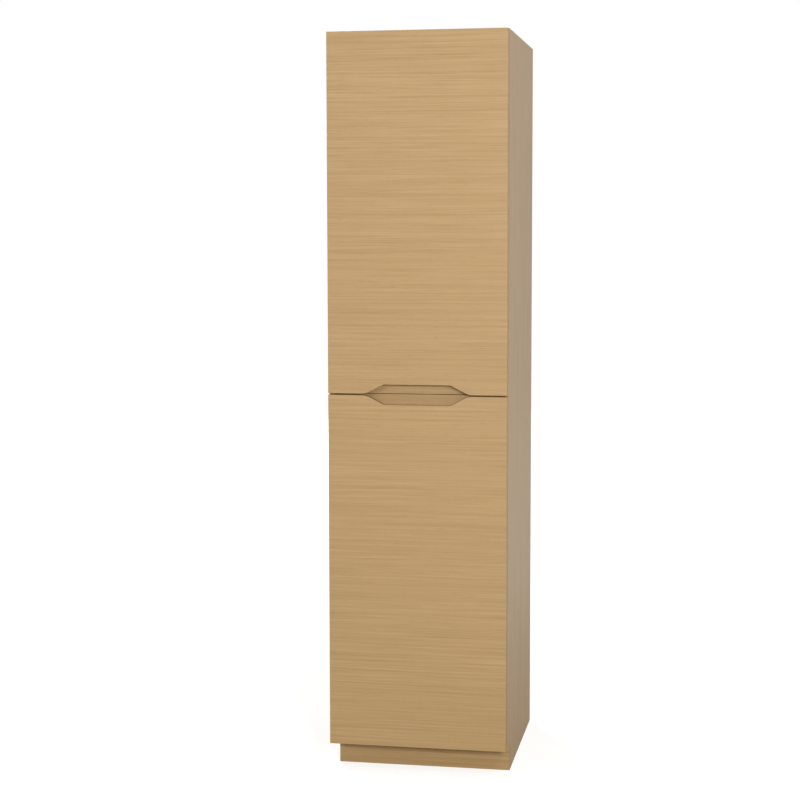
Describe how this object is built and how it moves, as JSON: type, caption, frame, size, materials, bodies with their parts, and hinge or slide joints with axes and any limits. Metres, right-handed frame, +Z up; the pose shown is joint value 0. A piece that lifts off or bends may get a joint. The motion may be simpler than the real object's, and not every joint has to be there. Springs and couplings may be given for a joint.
{
  "type": "broom cupboard",
  "caption": "Tall broom cupboard in light wood-grain board: upper and lower doors meet at a six-sided finger recess, over a set-back plinth; broom bay and shelves inside.",
  "frame": {"origin": "on the floor, in the middle of the closed cupboard's plan", "axes": "+X to the right seen from the front, -Y out of the doors, +Z up"},
  "size_m": [0.5, 0.6, 2.055],
  "materials": {
    "door_board": "satin melamine face with a fine horizontal wood grain",
    "carcass_board": "satin melamine-faced board, same wood grain as the doors",
    "kick_board": "satin melamine-faced board",
    "back_hardboard": "thin board, wood grain inside, bare brown fibre behind",
    "plain_timber": "bare sanded timber",
    "zinc_casting": "dull die-cast zinc",
    "nickel_plated_steel": "bright nickel plate",
    "clear_silicone": "soft translucent"
  },
  "bodies": {
    "carcass": {"arm_screws": "nickel_plated_steel", "back_panel": "back_hardboard", "bottom_panel": "carcass_board", "cam_bolts": "nickel_plated_steel", "cam_locks": "zinc_casting", "dowels": "plain_timber", "fixed_shelf": "carcass_board", "kickboard": "kick_board", "left_gable": "carcass_board", "lower_hinge_1_arm": "nickel_plated_steel", "lower_hinge_1_plate": "nickel_plated_steel", "lower_hinge_2_arm": "nickel_plated_steel", "lower_hinge_2_plate": "nickel_plated_steel", "lower_hinge_3_arm": "nickel_plated_steel", "lower_hinge_3_plate": "nickel_plated_steel", "lower_mid_rail": "carcass_board", "lower_wall_rail": "carcass_board", "partition": "carcass_board", "plate_screws": "nickel_plated_steel", "plinth_back": "carcass_board", "plinth_block_1": "plain_timber", "plinth_block_2": "plain_timber", "plinth_block_3": "plain_timber", "plinth_block_4": "plain_timber", "plinth_brace": "carcass_board", "plinth_left": "carcass_board", "plinth_screws": "nickel_plated_steel", "right_gable": "carcass_board", "shelf_1": "carcass_board", "shelf_2": "carcass_board", "shelf_3": "carcass_board", "shelf_4": "carcass_board", "shelf_pins": "nickel_plated_steel", "top_panel": "carcass_board", "upper_hinge_1_arm": "nickel_plated_steel", "upper_hinge_1_plate": "nickel_plated_steel", "upper_hinge_2_arm": "nickel_plated_steel", "upper_hinge_2_plate": "nickel_plated_steel", "upper_hinge_3_arm": "nickel_plated_steel", "upper_hinge_3_plate": "nickel_plated_steel", "upper_mid_rail": "carcass_board", "upper_wall_rail": "carcass_board"},
    "upper_leaf": {"upper_cup_screws": "nickel_plated_steel", "upper_door": "door_board", "upper_door_bumpers": "clear_silicone", "upper_hinge_1_cup": "nickel_plated_steel", "upper_hinge_1_pin": "nickel_plated_steel", "upper_hinge_2_cup": "nickel_plated_steel", "upper_hinge_2_pin": "nickel_plated_steel", "upper_hinge_3_cup": "nickel_plated_steel", "upper_hinge_3_pin": "nickel_plated_steel"},
    "lower_leaf": {"lower_cup_screws": "nickel_plated_steel", "lower_door": "door_board", "lower_door_bumpers": "clear_silicone", "lower_hinge_1_cup": "nickel_plated_steel", "lower_hinge_1_pin": "nickel_plated_steel", "lower_hinge_2_cup": "nickel_plated_steel", "lower_hinge_2_pin": "nickel_plated_steel", "lower_hinge_3_cup": "nickel_plated_steel", "lower_hinge_3_pin": "nickel_plated_steel"}
  },
  "joints": [
    {"name": "upper_door_swing", "type": "hinge", "parent": "carcass", "child": "upper_leaf", "pos_m": [-0.24151, -0.291, 1.5605], "axis": [0, 0, -1], "range_deg": [0, 100]},
    {"name": "lower_door_swing", "type": "hinge", "parent": "carcass", "child": "lower_leaf", "pos_m": [-0.24151, -0.291, 0.5695], "axis": [0, 0, -1], "range_deg": [0, 100]}
  ]
}
